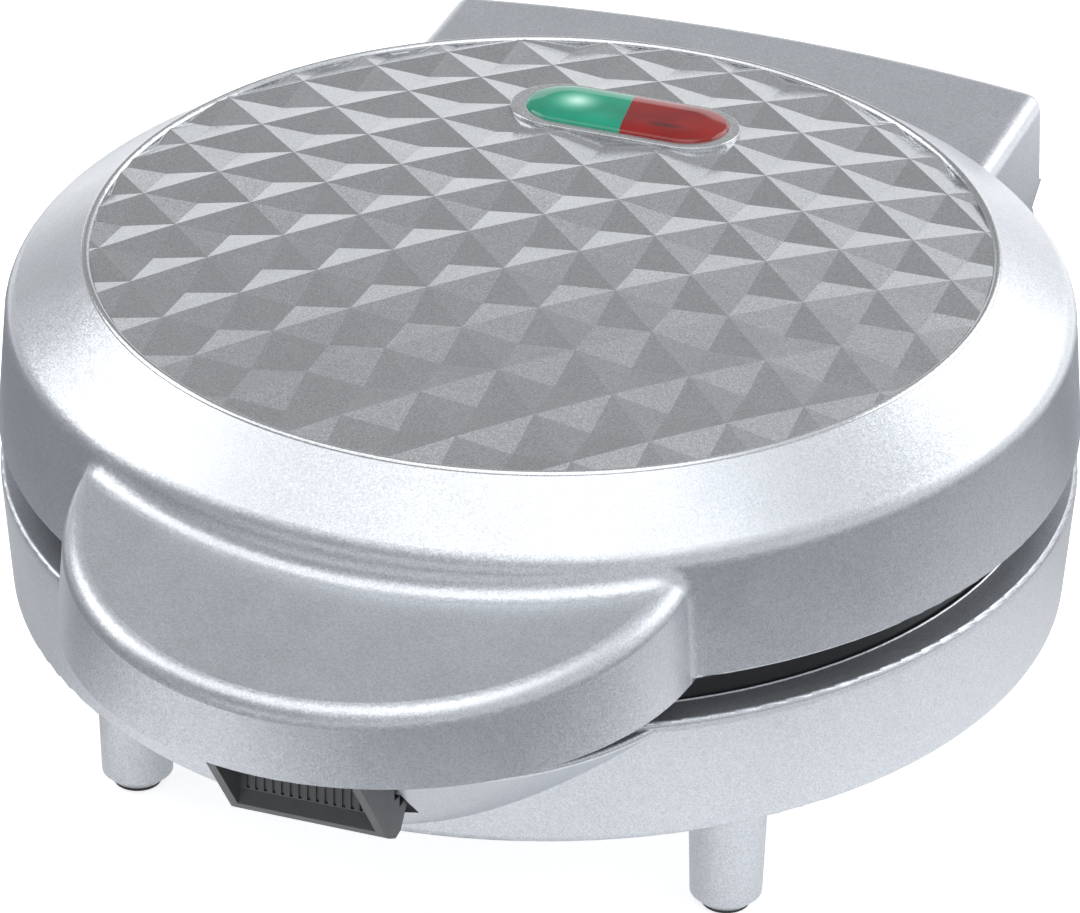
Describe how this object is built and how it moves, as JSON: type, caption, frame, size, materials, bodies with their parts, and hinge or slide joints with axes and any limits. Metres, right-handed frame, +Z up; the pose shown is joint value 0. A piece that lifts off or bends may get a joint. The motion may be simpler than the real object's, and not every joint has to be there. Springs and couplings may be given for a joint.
{
  "type": "bubble waffle maker",
  "caption": "Round countertop bubble waffle maker: silver hinged lid with a pitted dome and half-moon handle, sprung latch, pocketed plates, and a base on short legs.",
  "frame": {"origin": "on the table, under the middle of the closed cooker's outline", "axes": "+Z up, -Y towards the handle and the user, +Y towards the hinge, +X to the user's right"},
  "size_m": [0.2098, 0.2769, 0.1049],
  "materials": {
    "silver_paint": "satin metallic paint",
    "panel_silver": "satin metallic paint",
    "charcoal_plastic": "matte",
    "black_plastic": "matte",
    "green_plastic": "tinted gloss",
    "red_plastic": "tinted gloss",
    "lamp_glass": "clear",
    "nonstick_aluminium": "matte non-stick coating",
    "element_steel": "oxidised",
    "reflector_sheet": "bright sheet",
    "steel": "zinc plated",
    "foot_rubber": "matte",
    "lead_insulation": "fibre sleeve"
  },
  "bodies": {
    "base": {"base_shell": "silver_paint", "foot_pad_1": "foot_rubber", "foot_pad_2": "foot_rubber", "foot_pad_3": "foot_rubber", "foot_pad_4": "foot_rubber", "lower_plate": "nonstick_aluminium", "lower_element": "element_steel", "lower_reflector": "reflector_sheet", "lower_plate_screws": "steel", "terminal_block": "black_plastic", "terminal_screws": "steel", "cord_inlet": "black_plastic", "cord_clamp": "black_plastic", "cord_clamp_screws": "steel", "base_leads": "lead_insulation"},
    "lid": {"lid_shell": "silver_paint", "top_panel": "panel_silver", "indicator_frame": "panel_silver", "green_lens": "green_plastic", "red_lens": "red_plastic", "lamp_holder": "black_plastic", "green_lamp": "lamp_glass", "red_lamp": "lamp_glass", "upper_plate": "nonstick_aluminium", "upper_element": "element_steel", "upper_reflector": "reflector_sheet", "upper_plate_screws": "steel", "thermostat": "steel", "thermal_fuse": "steel", "thermal_fuse_clip": "steel", "handle_cover": "black_plastic", "handle_screws": "steel", "hinge_pin_left": "steel", "hinge_pin_right": "steel", "latch_pin": "steel", "latch_spring": "steel", "lid_leads": "lead_insulation"},
    "latch": {"latch": "charcoal_plastic"}
  },
  "joints": [
    {"name": "lid_hinge", "type": "hinge", "parent": "base", "child": "lid", "pos_m": [0, 0.1185, 0.054], "axis": [-1, 0, 0], "range_deg": [0, 100]},
    {"name": "latch_pivot", "type": "hinge", "parent": "lid", "child": "latch", "pos_m": [0, -0.1185, 0.0705], "axis": [-1, 0, 0], "range_deg": [0, 14], "stiffness_Nm_per_rad": 0.05, "springref_deg": -17.19, "deforming": ["latch_spring"]}
  ]
}
